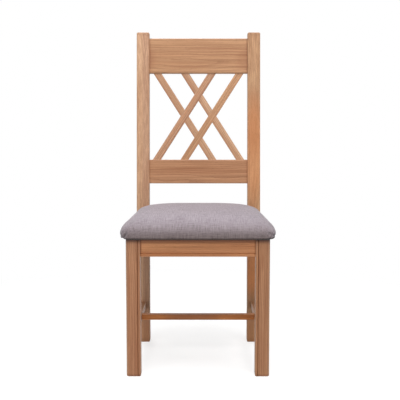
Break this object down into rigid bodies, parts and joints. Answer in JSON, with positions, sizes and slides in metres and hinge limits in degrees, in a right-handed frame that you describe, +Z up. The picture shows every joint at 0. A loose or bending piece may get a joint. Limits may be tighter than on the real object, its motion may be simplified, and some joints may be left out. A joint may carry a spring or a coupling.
{
  "type": "dining chair",
  "caption": "Oak dining chair with a tall raked back, a lattice of crossed half-lapped slats, an H stretcher and a crowned fabric seat pad.",
  "frame": {"origin": "middle of the chair's footprint, on the floor", "axes": "+Z up, -Y towards the front of the seat, +X to the right seen from the front"},
  "size_m": [0.459, 0.5185, 1.0385],
  "materials": {
    "post": "lacquered natural oak",
    "leg": "lacquered natural oak",
    "rail": "lacquered natural oak",
    "slat": "lacquered natural oak",
    "stretcher": "lacquered natural oak",
    "block": "sawn, unfinished",
    "plywood": "unfinished plywood",
    "foam": "cut upholstery foam",
    "upholstery": "slubbed grey linen weave",
    "dust_cloth": "black spun-bonded cloth",
    "screw_steel": "zinc plated",
    "staple_steel": "galvanised wire"
  },
  "bodies": {
    "root": {"rear_post_left": "post", "rear_post_right": "post", "front_leg_left": "leg", "front_leg_right": "leg", "front_seat_rail": "rail", "rear_seat_rail": "rail", "side_seat_rail_left": "rail", "side_seat_rail_right": "rail", "crest_rail": "rail", "lower_back_rail": "rail", "falling_slat_left": "slat", "falling_slat_right": "slat", "rising_slat_left": "slat", "rising_slat_right": "slat", "side_stretcher_left": "stretcher", "side_stretcher_right": "stretcher", "cross_stretcher": "stretcher", "corner_block_front_left": "block", "corner_block_front_right": "block", "corner_block_rear_left": "block", "corner_block_rear_right": "block", "seat_board": "plywood", "seat_foam": "foam", "seat_cover": "upholstery", "dust_cover": "dust_cloth", "block_screws": "screw_steel", "seat_screws": "screw_steel", "dust_cover_staples": "staple_steel"}
  },
  "joints": []
}
